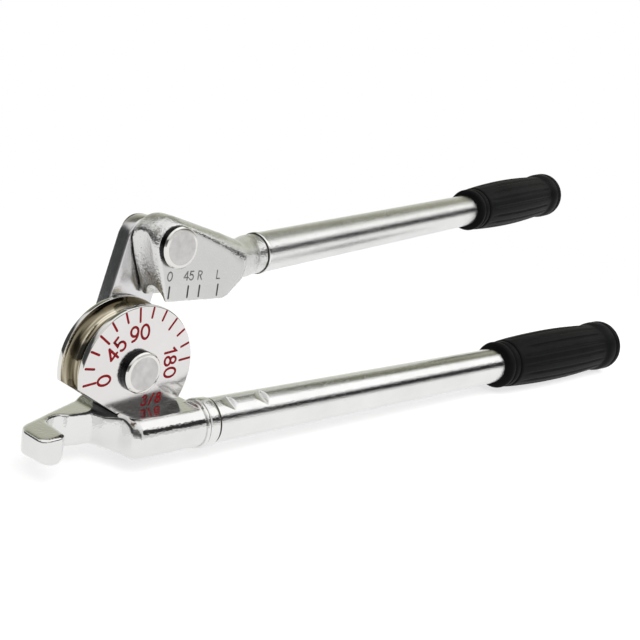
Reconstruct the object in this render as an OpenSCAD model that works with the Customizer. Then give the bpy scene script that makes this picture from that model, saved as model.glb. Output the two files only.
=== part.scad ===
// Lever tube bender: a grooved former wheel on a fixed handle, and a slide
// shoe on a second handle that a link swings round the wheel.
// X runs along the fixed handle, Z is up, the wheel's marked face looks to -Y.
// The origin is the bend centre: the wheel's axis at the middle of its groove.

/* [Tube and former wheel] */
// Outside diameter of the tube that is bent
tube_d = 9.525; // [9.3:0.025:9.7]
// Radius of the bend at the tube's centre line
bend_r = 23.8; // [23.5:0.1:24.2]
// Space all round between the tube and a groove it lies in
groove_gap = 0.1; // [0.05:0.05:0.2]
// How far the wheel's rim stays inside the tube's centre line
rim_gap = 0.9; // [0.7:0.1:1.1]
// Width of the wheel across its two faces
wheel_w = 13.8; // [13.6:0.1:14.2]
// Bevel on the wheel's rim edges
rim_bevel = 0.5; // [0.3:0.1:0.7]
// Angle of the wheel's zero mark
zero_angle = 184.2; // [183:0.1:185.5]
// Angle between one mark on the wheel and the next
mark_step = 15; // [15:15:15]
// Depth of the engraved marks
mark_depth = 0.25; // [0.15:0.05:0.35]
// Width of the engraved marks
mark_w = 0.8; // [0.6:0.1:1]
// Distance from the wheel's rim to the marks
mark_edge = 0.8; // [0.7:0.1:1]
// Height of the flat the wheel stands on, below the bend centre
bed_drop = 13.7; // [13.5:0.1:13.9]

/* [Body forging] */
// Step from the wheel's bed down to the hook's top
hook_step = 1.8; // [1.6:0.1:2]
// Height of the hook's arm
hook_h = 11.3; // [11:0.1:11.6]
// Round on the arm's lower outer edge
hook_round = 7; // [6.8:0.1:7.2]
// How far the hook's finger stays above the arm's underside
finger_rise = 1.2; // [1:0.1:1.4]
// Round on the finger's lower corner at the outer side
finger_outer = 6; // [5.8:0.1:6.2]
// Round on the finger's lower corner beside the notch
finger_round = 3.6; // [3.3:0.1:3.8]
// Distance from the bend centre to the hook's outer side
hook_reach = 38.9; // [38.5:0.1:39.5]
// Distance of the hook's tip in front of the groove's middle
hook_front = 11.3; // [11:0.1:11.8]
// Distance from the bend centre to the boss's end beside the notch
boss_reach = 8; // [7.8:0.1:8.4]
// Distance from the bend centre to the end of the wheel's bed
bed_end = 21.5; // [21.3:0.1:21.7]
// Distance of the body's back behind the groove's middle
body_depth = 14; // [13.8:0.1:14.2]
// Radius of the dowels under the wheel
dowel_r = 1.6; // [1.4:0.1:1.8]
// Depth of each dowel in the wheel and in the body
dowel_in = 5; // [4.5:0.1:5.5]
// Radius of the screw under the wheel
screw_r = 3; // [2.8:0.1:3]
// Radius of the screw's head
screw_head_r = 5; // [4.8:0.1:5]
// Height of the screw's head
screw_head_h = 6; // [5.6:0.1:6.2]
// Radius across the corners of the screw's socket
socket_r = 2.9; // [2.7:0.1:3]
// Depth of the screw's socket
socket_depth = 3; // [2.6:0.1:3.2]

/* [Pins, washers and rings] */
// Radius of the pins
pin_r = 4.8; // [4.6:0.1:5]
// Radius of the pins' heads
head_r = 7.3; // [7.1:0.1:7.5]
// Height of the pins' heads
head_h = 3; // [2.8:0.1:3.2]
// Bevel on the pins' heads
head_bevel = 0.9; // [0.7:0.1:1.1]
// Space all round a pin in the bush that turns on it
turn_gap = 0.05; // [0.03:0.01:0.08]
// Space all round between pressed pieces
press_gap = 0.02; // [0.01:0.01:0.03]
// Play between pieces stacked on a pin
stack_gap = 0.05; // [0.03:0.01:0.08]
// Wall of the bushes
bush_wall = 1; // [0.8:0.1:1.1]
// Thickness of the washers
washer_t = 0.7; // [0.6:0.1:0.8]
// Outside radius of the washers
washer_r = 7; // [6.8:0.1:7.1]
// Thickness of the retaining rings
ring_t = 1.1; // [1:0.1:1.2]
// Outside radius of the retaining rings
ring_r = 6.7; // [6.5:0.1:6.9]
// Depth of the ring grooves in the pins
ring_seat = 0.8; // [0.7:0.1:0.9]
// Width of the gap in a retaining ring
ring_mouth = 5; // [4:0.5:6]
// Length of a pin's end past its retaining ring
pin_tail = 1.4; // [1.2:0.1:1.6]

/* [Link] */
// Thickness of the link
link_t = 6.35; // [6:0.05:6.6]
// Half the width of the link
link_half = 9.3; // [9.1:0.1:9.4]
// How far the link's far end is drawn in towards its pin
link_trim = 2.2; // [1.8:0.1:2.4]
// Angle of the link from the fixed handle
link_angle = 74.15; // [73:0.05:75]

/* [Slide shoe] */
// Distance from the shoe's pin to the lips of its groove
shoe_depth = 19.4; // [19.2:0.1:19.6]
// How far the lips stay outside the tube's centre line
lip_gap = 0.4; // [0.3:0.1:0.6]
// Angle of the shoe's groove from the fixed handle
shoe_tilt = -2.4; // [-3:0.1:-2]
// Height of the shoe's marked face over the groove's middle
shoe_front = 6; // [5.8:0.1:6.1]
// Radius of the shoe round its pin
shoe_eye_r = 9.4; // [9.2:0.1:9.6]
// How far the lips reach behind the pin
lip_back = 1.5; // [1.3:0.1:1.8]
// How far the lips reach in front of the pin
lip_fore = 28; // [27.6:0.2:28.4]
// Distance from the shoe's pin to the end of its flat face
shoe_end = 35.6; // [35.2:0.1:36]
// Drop of the shoe's fore corner below its pin
shoe_shoulder = 13; // [12.8:0.1:13.2]
// Drop of the neck's foot below the shoe's pin
neck_foot = 14.6; // [14.4:0.1:14.8]
// Depth of the hollow in the shoe's end, beside the pin
scoop_depth = 1.9; // [1.7:0.1:2.1]
// Radius of the hollow in the shoe's end
scoop_r = 11; // [10.6:0.1:11.4]
// Length of the marks along the shoe's lips
lip_mark_len = 4.2; // [3.8:0.1:4.6]
// Width of the marks along the shoe's lips
lip_mark_w = 0.7; // [0.6:0.1:0.8]

/* [Handles] */
// Outside radius of the handle tubes
handle_r = 8.2; // [8.1:0.1:8.3]
// Wall of the handle tubes
handle_wall = 1.4; // [1.2:0.1:1.6]
// Length of the handle tubes
handle_len = 264; // [250:1:275]
// Drop of the fixed handle's axis below the bend centre
lower_drop = 20.54; // [20.4:0.02:20.7]
// Distance of the fixed handle's axis in front of the groove's middle
lower_front = 11.87; // [11.7:0.01:12.1]
// Lean of the fixed handle to the front
lower_lean = 5.62; // [5.4:0.02:6]
// Distance from the bend centre to the fixed handle's tube
lower_root = 24; // [23.6:0.2:24.6]
// Distance along the groove from the shoe's pin to the moving handle's tube
neck_reach = 66.7; // [66:0.1:67.4]
// Drop of the moving handle's root below the shoe's pin
neck_drop = 9.67; // [9.4:0.01:10]
// Distance of the moving handle's root behind the groove's middle
neck_back = 20.5; // [20:0.1:21]
// Rise of the moving handle over the groove's line
upper_rise = 5.94; // [5.5:0.02:6.4]
// Lean of the moving handle to the back
upper_lean = 3.98; // [3.8:0.02:4.2]
// Length of the spigots inside the handle tubes
spigot_len = 36; // [30:1:40]
// Radius of the ferrules
ferrule_r = 8.9; // [8.8:0.1:9.1]
// Bevel on the ferrules' edges
ferrule_bevel = 0.3; // [0.2:0.05:0.4]
// Length of the fixed handle's ferrule
lower_ferrule_len = 5.6; // [5:0.2:6]
// How far that ferrule reaches over the body
lower_ferrule_back = 2.4; // [2.2:0.1:2.6]
// Length of the moving handle's ferrule
upper_ferrule_len = 2.4; // [2:0.2:2.8]
// Depth of the stakes that lock a tube on its spigot
stake_depth = 0.9; // [0.7:0.1:1]
// Radius of the round punch that made the stakes
stake_r = 3; // [2.6:0.2:3.4]

/* [Grips] */
// Length of the grips
grip_len = 98.7; // [96:0.1:101]
// Distance from a tube's end to the grip's end
grip_over = 6; // [5:0.5:7]
// Radius of a grip's front collar
collar_r = 11.06; // [10.8:0.02:11.3]
// Radius of a grip's swell
swell_r = 13; // [12.6:0.1:13.4]
// Radius of a grip's end band
band_r = 13.05; // [12.7:0.05:13.5]
// Length of a grip's front collar
collar_len = 8; // [7.6:0.1:8.4]
// Length of a grip's end band
band_len = 12; // [11:0.5:13]
// Round on a grip's end
end_round = 1.4; // [1.2:0.1:1.6]
// Length of a tube's end plug
plug_len = 12; // [10:1:14]

// Wall of a tube's end plug
plug_wall = 2; // [1.6:0.1:2.4]

/* [Hidden] */
$fn = 64;
eps = 0.01;
// A length past the head, for cuts that run right through
far = 60;
wheel_half = wheel_w / 2;
wheel_r = bend_r - rim_gap;
groove_r = tube_d / 2 + groove_gap;
link_len = bend_r + lip_gap + shoe_depth;
link_front = -wheel_half - washer_t - 2 * stack_gap;
link_back = link_front - link_t;
stack_back = link_back - washer_t - 2 * stack_gap;
pin_end = stack_back - ring_t - stack_gap - pin_tail;
bush_r = pin_r + turn_gap + bush_wall;
ring_seat_r = pin_r - ring_seat;
spigot_r = handle_r - handle_wall - press_gap;
grip_at = handle_len + grip_over - grip_len;
waist_r = collar_r - 0.3;
grip_bevel = 0.6;
band_from = grip_len - band_len;
cap_t = grip_over - 0.1;
neck_r = handle_r - 0.1;
neck_len = 7.5;
neck_step = 0.15;
neck_root = 5;
neck_top = 3;
// The hollow in the shoe's end: its lean, and its place behind the groove's middle
scoop_angle = 16;
scoop_back = 1.5;
// The crown of the shoe's upper edge: from and to in depth, and how far the edge is let down
crown = [
    [-wheel_half, -wheel_half + 1, 1],
    [-wheel_half + 2, shoe_front - 5, 0],
    [shoe_front - 2.5, shoe_front - 2.4, 1.5],
    [shoe_front - 1.1, shoe_front - 1, 2.9],
    [shoe_front - 0.1, shoe_front, 4.2]
];
// How much of that the edge is let down round the eye, and at the neck
eye_crown = 0.45;
end_crown = 1.48;
// The places of the stakes along a tube
stakes = [11.5, 27.3];
// The places of the marks along the shoe's lips
shoe_marks = [-0.3, 8, 13.1, 21.9];
bed = -bed_drop;
// Keeps the block's underside off the boss's lowest line
tangent_gap = 0.25;

// The body forging: heights, and places along x
hook_top = bed - hook_step;
hook_bottom = hook_top - hook_h;
body_bottom = -lower_drop - handle_r + tangent_gap;
hook_left = -hook_reach;
boss_left = -boss_reach;
// The straight tube's way past the hook, in line with the wheel's groove
tube_x = -bend_r;
notch_r = groove_r;
body_back = -body_depth;
finger_from = 0.5;
finger_left = hook_left - 0.6;
finger_w = 11.2;
arm_root = boss_left - 2;
rise_end = boss_left + 6;
boss_bevel = 2.4;
dowel_x = [-4.5, 13.5];
screw_x = sum_half(dowel_x);
screw_hole_gap = 0.3;
end_gap = 0.2;
way_gap = 0.6;
screw_tip = -pin_r - 2.8;
screw_seat = body_bottom + screw_head_h + 1;
// The flat on the wheel beside the tube's way
flat_from = [-22.8, -3.3];
flat_to = [-8.1, bed];

function sum_half(p) = (p[0] + p[1]) / 2;
function mark_len(i) = i % 3 == 0 ? 4.6 : 3.4;

steel = [0.80, 0.80, 0.80];
chrome = [0.86, 0.86, 0.87];
bronze = [0.72, 0.55, 0.30];
dark_steel = [0.25, 0.25, 0.26];
vinyl = [0.06, 0.06, 0.07];

// Turns the wheel's axis from up to the front.
module upright() {
    rotate([90, 0, 0]) children();
}

module at_shoe() {
    rotate([0, 0, link_angle])
        translate([link_len, 0, 0])
            rotate([0, 0, shoe_tilt - link_angle])
                children();
}

module along_lower(s) {
    translate([0, -lower_drop, lower_front])
        rotate([0, 90 - lower_lean, 0])
            translate([0, 0, s])
                children();
}

module along_upper(s) {
    at_shoe()
        translate([neck_reach, -neck_drop, -neck_back])
            rotate([0, 0, upper_rise])
                rotate([0, 90 + upper_lean, 0])
                    translate([0, 0, s])
                        children();
}

// A plan outline, x and depth, drawn out downwards from a height.
module plan(top, bottom) {
    translate([0, top, 0])
        rotate([90, 0, 0])
            linear_extrude(top - bottom)
                children();
}

module body_plan() {
    difference() {
        polygon([
            [hook_left, hook_front - 2],
            [hook_left, 0.5],
            [-37.4, -2.6],
            [-35.5, -4.1],
            [-8.6, body_back],
            [6, body_back],
            [16, -9],
            [bed_end, -3],
            [bed_end, lower_front + 1],
            [boss_left + boss_bevel, lower_front],
            [boss_left, lower_front - boss_bevel],
            [-10.6, 3.4],
            [-12, -1.2],
            [-19.4, -2.7],
            [-28.2, -3],
            [-29.3, hook_front - 2],
            [-31.5, hook_front],
            [hook_left + 2, hook_front]
        ]);
        translate([tube_x, 0]) circle(r = notch_r);
    }
}

module body_profile() {
    union() {
        polygon([
            [boss_left + 1, bed],
            [-10, hook_top],
            [hook_left, hook_top],
            [hook_left, hook_bottom + hook_round],
            [hook_left + hook_round, hook_bottom],
            [arm_root, hook_bottom],
            [boss_left, body_bottom],
            [bed_end, body_bottom],
            [bed_end, bed]
        ]);
        intersection() {
            translate([hook_left + hook_round, hook_bottom + hook_round]) circle(r = hook_round);
            translate([hook_left - 1, hook_bottom - 1]) square([2 * hook_round, hook_h + 1]);
        }
    }
}

// The finger's lower end seen from the front, with two rounded corners.
module finger_end() {
    translate([finger_left, hook_bottom + finger_rise]) {
        translate([finger_outer, finger_outer]) circle(r = finger_outer);
        translate([finger_w - finger_round, finger_round]) circle(r = finger_round);
        translate([finger_outer, 0]) square([finger_w - finger_outer - finger_round, finger_outer + 1]);
        translate([finger_outer, finger_round]) square([finger_w - finger_outer, finger_outer]);
    }
}

// The shoe's way past the boss and its ferrule at the end of a full bend.
module shoe_way() {
    translate([bed_end, -far, -far + shoe_front + way_gap]) cube([far, far, far]);
}

module lower_body() {
    color(chrome)
        upright()
            difference() {
                union() {
                    intersection() {
                        plan(bed, body_bottom) body_plan();
                        translate([0, 0, body_back])
                            linear_extrude(far) body_profile();
                    }
                    difference() {
                        union() {
                            along_lower(boss_left)
                                cylinder(r1 = handle_r - boss_bevel, r2 = handle_r, h = boss_bevel);
                            along_lower(boss_left + boss_bevel)
                                cylinder(r = handle_r, h = lower_root - boss_left - boss_bevel);
                        }
                        translate([boss_left - 4, bed, -far / 2])
                            cube([bed_end - boss_left + 2, handle_r, 2 * far]);
                    }
                    along_lower(lower_root - 4) cylinder(r = spigot_r, h = spigot_len + 4);
                }
                for (x = dowel_x)
                    translate([x, bed + eps, 0]) rotate([90, 0, 0])
                        cylinder(r = dowel_r + press_gap, h = dowel_in + end_gap);
                translate([screw_x, bed + eps, 0]) rotate([90, 0, 0])
                    cylinder(r = screw_r + screw_hole_gap, h = far);
                translate([screw_x, screw_seat, 0]) rotate([90, 0, 0])
                    cylinder(r = screw_head_r + screw_hole_gap, h = far);
                // the boss's underside rises towards the arm
                translate([0, 0, body_back - 1])
                    linear_extrude(far)
                        polygon([
                            [arm_root, hook_bottom],
                            [rise_end, body_bottom],
                            [rise_end, body_bottom - 1],
                            [arm_root, body_bottom - 1]
                        ]);
                // the finger's rounded underside, in front of the arm
                translate([0, 0, finger_from])
                    linear_extrude(hook_front)
                        difference() {
                            translate([finger_left - 1, hook_bottom - 1])
                                square([finger_w + 4, finger_rise + finger_outer + 1]);
                            finger_end();
                        }
                shoe_way();
            }
}

module former_wheel() {
    color(steel)
        upright()
            difference() {
                rotate_extrude($fn = 128)
                    difference() {
                        polygon([
                            [pin_r + press_gap, -wheel_half],
                            [wheel_r - rim_bevel, -wheel_half],
                            [wheel_r, -wheel_half + rim_bevel],
                            [wheel_r, wheel_half - rim_bevel],
                            [wheel_r - rim_bevel, wheel_half],
                            [pin_r + press_gap, wheel_half]
                        ]);
                        translate([bend_r, 0]) circle(r = groove_r);
                    }
                translate([-far, bed - far, -far / 2]) cube([2 * far, far, far]);
                translate([0, 0, -far / 2])
                    linear_extrude(far)
                        polygon([
                            flat_from,
                            flat_to,
                            [flat_to[0], -far],
                            [-far, -far],
                            [-far, flat_from[1] + 0.7 * (far + flat_from[0])]
                        ]);
                for (i = [0 : 12])
                    rotate([0, 0, zero_angle - i * mark_step])
                        translate([wheel_r - mark_edge - mark_len(i), -mark_w / 2, wheel_half - mark_depth])
                            cube([mark_len(i), mark_w, 1]);
                for (x = dowel_x)
                    translate([x, bed - eps, 0]) rotate([-90, 0, 0])
                        cylinder(r = dowel_r + press_gap, h = dowel_in + end_gap);
                translate([screw_x, bed - eps, 0]) rotate([-90, 0, 0])
                    cylinder(r = screw_r + press_gap, h = screw_tip - bed + 2 * end_gap);
            }
}

module former_dowels() {
    color(steel)
        upright()
            for (x = dowel_x)
                translate([x, bed + dowel_in, 0]) rotate([90, 0, 0])
                    cylinder(r = dowel_r, h = 2 * dowel_in);
}

module former_screw() {
    color(dark_steel)
        upright()
            difference() {
                union() {
                    translate([screw_x, screw_tip, 0]) rotate([90, 0, 0])
                        cylinder(r = screw_r, h = screw_tip - screw_seat + 1);
                    translate([screw_x, screw_seat - stack_gap, 0]) rotate([90, 0, 0])
                        cylinder(r = screw_head_r, h = screw_head_h);
                }
                translate([screw_x, screw_seat - screw_head_h + socket_depth, 0]) rotate([90, 0, 0])
                    cylinder(r = socket_r, h = 10, $fn = 6);
            }
}

// A headed pin from its head's seat down to the common end.
module headed_pin(seat) {
    rotate_extrude()
        polygon([
            [0, seat + head_h],
            [head_r - head_bevel, seat + head_h],
            [head_r, seat + head_h - head_bevel],
            [head_r, seat],
            [pin_r, seat],
            [pin_r, stack_back],
            [ring_seat_r, stack_back],
            [ring_seat_r, stack_back - ring_t - stack_gap],
            [pin_r, stack_back - ring_t - stack_gap],
            [pin_r, pin_end + head_bevel],
            [pin_r - head_bevel, pin_end],
            [0, pin_end]
        ]);
}

module washer(top, hole_r) {
    translate([0, 0, top - washer_t])
        difference() {
            cylinder(r = washer_r, h = washer_t);
            translate([0, 0, -1]) cylinder(r = hole_r, h = washer_t + 2);
        }
}

module retaining_ring() {
    translate([0, 0, stack_back - ring_t - stack_gap / 2])
        difference() {
            cylinder(r = ring_r, h = ring_t);
            translate([0, 0, -1]) cylinder(r = ring_seat_r + press_gap, h = ring_t + 2);
            translate([0, -ring_mouth / 2, -1]) cube([ring_r + 1, ring_mouth, ring_t + 2]);
        }
}

module former_pin() {
    color(steel) upright() headed_pin(wheel_half);
}

module former_thrust_washer() {
    color(steel) upright() washer(-wheel_half - stack_gap, pin_r + turn_gap);
}

module former_back_washer() {
    color(steel) upright() washer(link_back - stack_gap, pin_r + turn_gap);
}

module former_ring() {
    color(dark_steel) upright() retaining_ring();
}

module link_bar() {
    color(steel)
        upright()
            rotate([0, 0, link_angle])
                translate([0, 0, link_back])
                    difference() {
                        union() {
                            cylinder(r = link_half, h = link_t);
                            translate([link_len - link_trim, 0, 0]) cylinder(r = link_half, h = link_t);
                            translate([0, -link_half, 0])
                                cube([link_len - link_trim, 2 * link_half, link_t]);
                        }
                        for (x = [0, link_len])
                            translate([x, 0, -1]) cylinder(r = bush_r + press_gap, h = link_t + 2);
                    }
}

module link_bushes() {
    color(bronze)
        upright()
            rotate([0, 0, link_angle])
                for (x = [0, link_len])
                    translate([x, 0, link_back])
                        difference() {
                            cylinder(r = bush_r, h = link_t);
                            translate([0, 0, -1]) cylinder(r = pin_r + turn_gap, h = link_t + 2);
                        }
}

// The shoe's outline, eye and lips, with its upper edge let down by drop.
module shoe_outline(drop) {
    eye_r = shoe_eye_r - drop * eye_crown;
    circle(r = eye_r, $fn = 48);
    polygon([
        [-lip_back, -shoe_depth],
        [lip_fore, -shoe_depth],
        [shoe_end, -shoe_shoulder],
        [shoe_end + 1.8, -drop * end_crown],
        [2.3, shoe_eye_r - 0.4 - drop],
        [-eye_r, -1]
    ]);
}

module shoe_slab(z0, z1, drop) {
    translate([0, 0, z0]) linear_extrude(z1 - z0) shoe_outline(drop);
}

module shoe_body() {
    color(chrome)
        upright()
            difference() {
                union() {
                    at_shoe()
                        hull() {
                            for (c = crown)
                                shoe_slab(c[0], c[1], c[2]);
                        }
                    hull() {
                        at_shoe()
                            translate([shoe_end - neck_root - 0.6, -neck_foot, -wheel_half + 1])
                                rotate([0, 0, -2])
                                    cube([neck_root, neck_foot - neck_top, wheel_half + 1]);
                        along_upper(-neck_len) cylinder(r = neck_r - neck_step, h = 1, $fn = 32);
                    }
                    along_upper(-neck_len) cylinder(r = neck_r, h = neck_len);
                    along_upper(-2) cylinder(r = spigot_r, h = spigot_len + 2);
                }
                at_shoe() {
                    translate([0, 0, -far / 2]) cylinder(r = pin_r + press_gap, h = far);
                    translate([-far / 2, -shoe_depth - lip_gap, 0])
                        rotate([0, 90, 0]) cylinder(r = groove_r, h = 2 * far);
                    shoe_scoop();
                    for (x = shoe_marks)
                        translate([x - lip_mark_w / 2, -shoe_depth + 1.4, shoe_front - mark_depth])
                            cube([lip_mark_w, lip_mark_len, 1]);
                }
            }
}

// The long hollow down the shoe's end.
module shoe_scoop() {
    translate([scoop_depth - shoe_eye_r, 0, -scoop_back])
        rotate([0, 0, scoop_angle])
            translate([-scoop_r, 0, 0])
                rotate([90, 0, 0])
                    cylinder(r = scoop_r, h = far, center = true);
}

module shoe_pin() {
    color(steel) upright() at_shoe() headed_pin(shoe_front);
}

module shoe_thrust_washer() {
    color(steel) upright() at_shoe() washer(-wheel_half - stack_gap, pin_r + turn_gap);
}

module shoe_back_washer() {
    color(steel) upright() at_shoe() washer(link_back - stack_gap, pin_r + turn_gap);
}

module shoe_ring() {
    color(dark_steel) upright() at_shoe() retaining_ring();
}

// A handle's tube from its root, with two stakes on the side that angle names.
module handle_tube(angle) {
    difference() {
        cylinder(r = handle_r, h = handle_len);
        translate([0, 0, -1]) cylinder(r = handle_r - handle_wall, h = handle_len + 2);
        for (s = stakes)
            rotate([0, 0, angle])
                translate([handle_r + stake_r - stake_depth, 0, s])
                    sphere(r = stake_r);
    }
}

module ferrule(len) {
    rotate_extrude()
        polygon([
            [handle_r + press_gap, 0],
            [ferrule_r - ferrule_bevel, 0],
            [ferrule_r, ferrule_bevel],
            [ferrule_r, len - ferrule_bevel],
            [ferrule_r - ferrule_bevel, len],
            [handle_r + press_gap, len]
        ]);
}

// A grip: a collar, a swell and an end band, closed over the tube's end.
module grip() {
    swell = swell_r - waist_r;
    rotate_extrude()
        polygon(concat(
            [[handle_r + press_gap, 0], [collar_r - grip_bevel, 0], [collar_r, grip_bevel]],
            [[collar_r, collar_len - grip_bevel], [waist_r, collar_len]],
            [for (i = [0 : 12]) [
                waist_r + swell * sin(20 + i * 10.8) * (i == 0 ? 0.8 : 1),
                collar_len + 0.4 + i * (band_from - collar_len - 1) / 12
            ]],
            [[band_r - 0.5, band_from + 0.8], [band_r, band_from + 3]],
            [for (i = [0 : 6]) [
                band_r - end_round + end_round * cos(i * 15),
                grip_len - end_round + end_round * sin(i * 15)
            ]],
            [[0, grip_len], [0, grip_len - cap_t], [handle_r + press_gap, grip_len - cap_t]]
        ));
}

module plug() {
    difference() {
        cylinder(r = spigot_r, h = plug_len);
        translate([0, 0, -1]) cylinder(r = spigot_r - plug_wall, h = plug_len + 1 - plug_wall);
    }
}

module lower_tube() {
    color(chrome) upright() along_lower(lower_root) handle_tube(90);
}

module lower_ferrule() {
    color(chrome)
        upright()
            difference() {
                along_lower(lower_root - lower_ferrule_back) ferrule(lower_ferrule_len);
                shoe_way();
            }
}

module lower_grip() {
    color(vinyl) upright() along_lower(lower_root + grip_at) grip();
}

module lower_plug() {
    color(dark_steel) upright() along_lower(lower_root + handle_len - plug_len) plug();
}

module upper_tube() {
    color(chrome) upright() along_upper(0) handle_tube(0);
}

module upper_ferrule() {
    color(chrome) upright() along_upper(-upper_ferrule_len / 2) ferrule(upper_ferrule_len);
}

module upper_grip() {
    color(vinyl) upright() along_upper(grip_at) grip();
}

module upper_plug() {
    color(dark_steel) upright() along_upper(handle_len - plug_len) plug();
}

lower_body();
former_wheel();
former_dowels();
former_screw();
former_pin();
former_thrust_washer();
former_back_washer();
former_ring();
lower_tube();
lower_ferrule();
lower_grip();
lower_plug();
link_bar();
link_bushes();
shoe_body();
shoe_pin();
shoe_thrust_washer();
shoe_back_washer();
shoe_ring();
upper_tube();
upper_ferrule();
upper_grip();
upper_plug();
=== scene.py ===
"""Lever tube bender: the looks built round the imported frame."""

import math

import bmesh
import bpy
import numpy as np
from mathutils import Matrix, Vector


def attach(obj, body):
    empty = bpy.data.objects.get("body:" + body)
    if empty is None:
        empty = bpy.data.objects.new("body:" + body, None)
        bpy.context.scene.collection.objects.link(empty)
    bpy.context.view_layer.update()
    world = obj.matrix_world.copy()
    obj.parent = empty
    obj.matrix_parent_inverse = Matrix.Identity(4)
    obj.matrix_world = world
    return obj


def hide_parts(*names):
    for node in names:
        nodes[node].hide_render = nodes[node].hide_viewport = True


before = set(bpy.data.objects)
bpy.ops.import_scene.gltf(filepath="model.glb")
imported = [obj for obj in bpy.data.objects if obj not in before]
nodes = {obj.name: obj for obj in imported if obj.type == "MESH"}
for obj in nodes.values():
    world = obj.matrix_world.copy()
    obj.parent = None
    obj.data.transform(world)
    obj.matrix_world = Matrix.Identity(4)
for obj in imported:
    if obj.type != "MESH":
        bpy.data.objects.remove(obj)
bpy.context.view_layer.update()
scene = bpy.context.scene

# Sizes in millimetres and degrees, in the tool's own frame: x along the fixed
# handle, y up, z towards the marked face. ROW turns them into the shared frame.

# The gap between pieces that fit
FIT = 0.02

# How far the tops of crossing strokes lie apart
TOP_STEP = 0.012

# Former wheel and its dial
BEND_R = 23.8
GROOVE_R = 4.8625
WHEEL_R = 22.9
WHEEL_HALF = 6.9
RIM_ROUND = 0.55
LIP_ROUND = 0.22
GROOVE_LIP = math.sqrt(GROOVE_R**2 - (BEND_R - WHEEL_R) ** 2)
BED = -13.7
FLAT_FROM = (-22.8, -3.3)
FLAT_TO = (-8.1, -13.7)
ZERO_ANGLE = 184.2
TICKS = 13
TICK_STEP = 15
TICK_EDGE = 0.8
TICK_LONG = 4.6
TICK_SHORT = 3.4
TICK_W = 0.86
DIAL_WORDS = (("0", 0, 14.2), ("45", 45, 13.6), ("90", 90, 13.6), ("180", 180, 13.4))
NUMBER_H = 4.9
NUMBER_W = 0.92
SIZE_AT = (6.2, -11.1)
SIZE_H = 3.3
SIZE_W = 0.78
DIAL_DEPTH = 0.25
PAINT_BELOW = 0.05
PAINT_GAP = 0.01

# Pins
PIN_R = 4.8
HEAD_R = 7.3
HEAD_H = 3.0
HEAD_BEVEL = 1.5
HEAD_FALL = 0.75
PIN_END = -17.4
CLIP_FROM = -16.0
CLIP_TO = -14.9
CLIP_R = 4.0

# Link
LINK_LEN = 43.6
LINK_ANGLE = 74.15
LINK_HALF = 9.3
LINK_TRIM = 2.2
LINK_FRONT = -7.7
LINK_T = 6.35
LINK_EDGE = 0.9
BUSH_R = 5.85

# Castings, and the shoe's marks
VOXEL = 0.3
KEPT_FACES = 0.5
BODY_PASSES = 50
FINGER_PASSES = 160
SHOE_PASSES = 60
NECK_PASSES = 300
SHOE_TILT = -2.4
SHOE_FRONT = 6.0
SHOE_WORDS = ("0", "45", "R", "L")
SHOE_MARKS = (-0.8, 7.6, 12.8, 21.5)
MARK_FROM = -17.9
MARK_TO = -14.0
MARK_W = 0.72
LETTER_SHIFT = -0.4
LETTER_Y = -10.3
LETTER_H = 3.0
LETTER_W = 0.5
MARK_DEPTH = 0.28
# The painted shade in the shoe's marks: the fill's thickness and its gap to the mark's walls
SHADE_FILL_T = 0.1
SHADE_FILL_GAP = 0.02
MARKED_X = (-1.2, 23.0)
MARKED_Y = (-18.6, -13.2)
MARKED_T = 1.2

# Handles: both axes, the tubes with their stakes, the ferrules
LOWER_AXIS = (0, -20.54, 11.87)
LOWER_SPLAY = 5.62
LOWER_ROOT = 24.0
UPPER_START = (66.7, -9.67, -20.5)
UPPER_RISE = 5.94
UPPER_SPLAY = 3.98
HANDLE_R = 8.2
HANDLE_WALL = 1.4
HANDLE_LEN = 264.0
ROLLED = 0.35
ROLLED_IN = 0.25
STAKES = ((10.2, 0.9), (25.5, 1.05))
STAKE_LEAD = 4.6
STAKE_WALL = 1.45
STAKE_REACH = 60
LOWER_STAKE_DEG = 114
UPPER_STAKE_DEG = 0
LOWER_RING_AT = -3.2
LOWER_RING_GAP = 31.0
# the lower ferrule's dark lines, dirt and painted shade in its groove and where it meets the tube
LOWER_DIRT_AND_SHADE = ((1.2, 1.6), (5.58, 6.6))
UPPER_RING_AT = -1.9
# the upper ferrule's dark line, dirt and painted shade where it meets the tube
UPPER_DIRT_AND_SHADE = ((-0.1, 0.53),)

# Grips
GRIP_LEN = 98.7
GRIP_AT = 171.3
COLLAR_R = 11.06
COLLAR_FROM = 1.4
SWELL_R = 12.96
BAND_R = 13.0
BAND_FROM = 86.7
BEAD_AT = 94.2
END_ROUND = 1.4
END_WALL = 5.9
FLUTES = 17
FLUTE_DEPTH = 0.55
FLUTE_IN = 12.0
FLUTE_OUT = 9.0

# Stage and camera, in metres
FLOOR_Z = -0.0338
FLOOR_HALF = 4.0
SHADOW_AT = (0.16, 0.05, FLOOR_Z)
SHADOW_NEAR = 0.2
SHADOW_FAR = 0.36
SEEN_THROUGH = 0.72
MIRRORED_WHITE = 0.75
LAMPS_AIM = (0.12, 0, 0)
KEY_AT = (-0.3, -0.7, 1.1)
KEY_SIZE = 0.9
KEY_POWER = 18.0
FILL_AT = (0.9, -0.6, 0.7)
FILL_SIZE = 0.8
FILL_POWER = 11.0
CAMERA_LENS = 53.71
CAMERA_AT = (-0.1976, -0.2426, 0.1084)
CAMERA_RIGHT = (0.6547, -0.7434, 0.1366)
CAMERA_DOWN = (-0.1111, -0.2735, -0.9554)
CAMERA_AHEAD = (0.7476, 0.6104, -0.2617)

UNMOVED = Matrix.Identity(4)
ROW = Matrix.Scale(0.001, 4) @ Matrix(((1, 0, 0, 0), (0, 0, -1, 0), (0, 1, 0, 0), (0, 0, 0, 1)))


def spin(axis, degrees):
    return Matrix.Rotation(math.radians(degrees), 4, axis)


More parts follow.
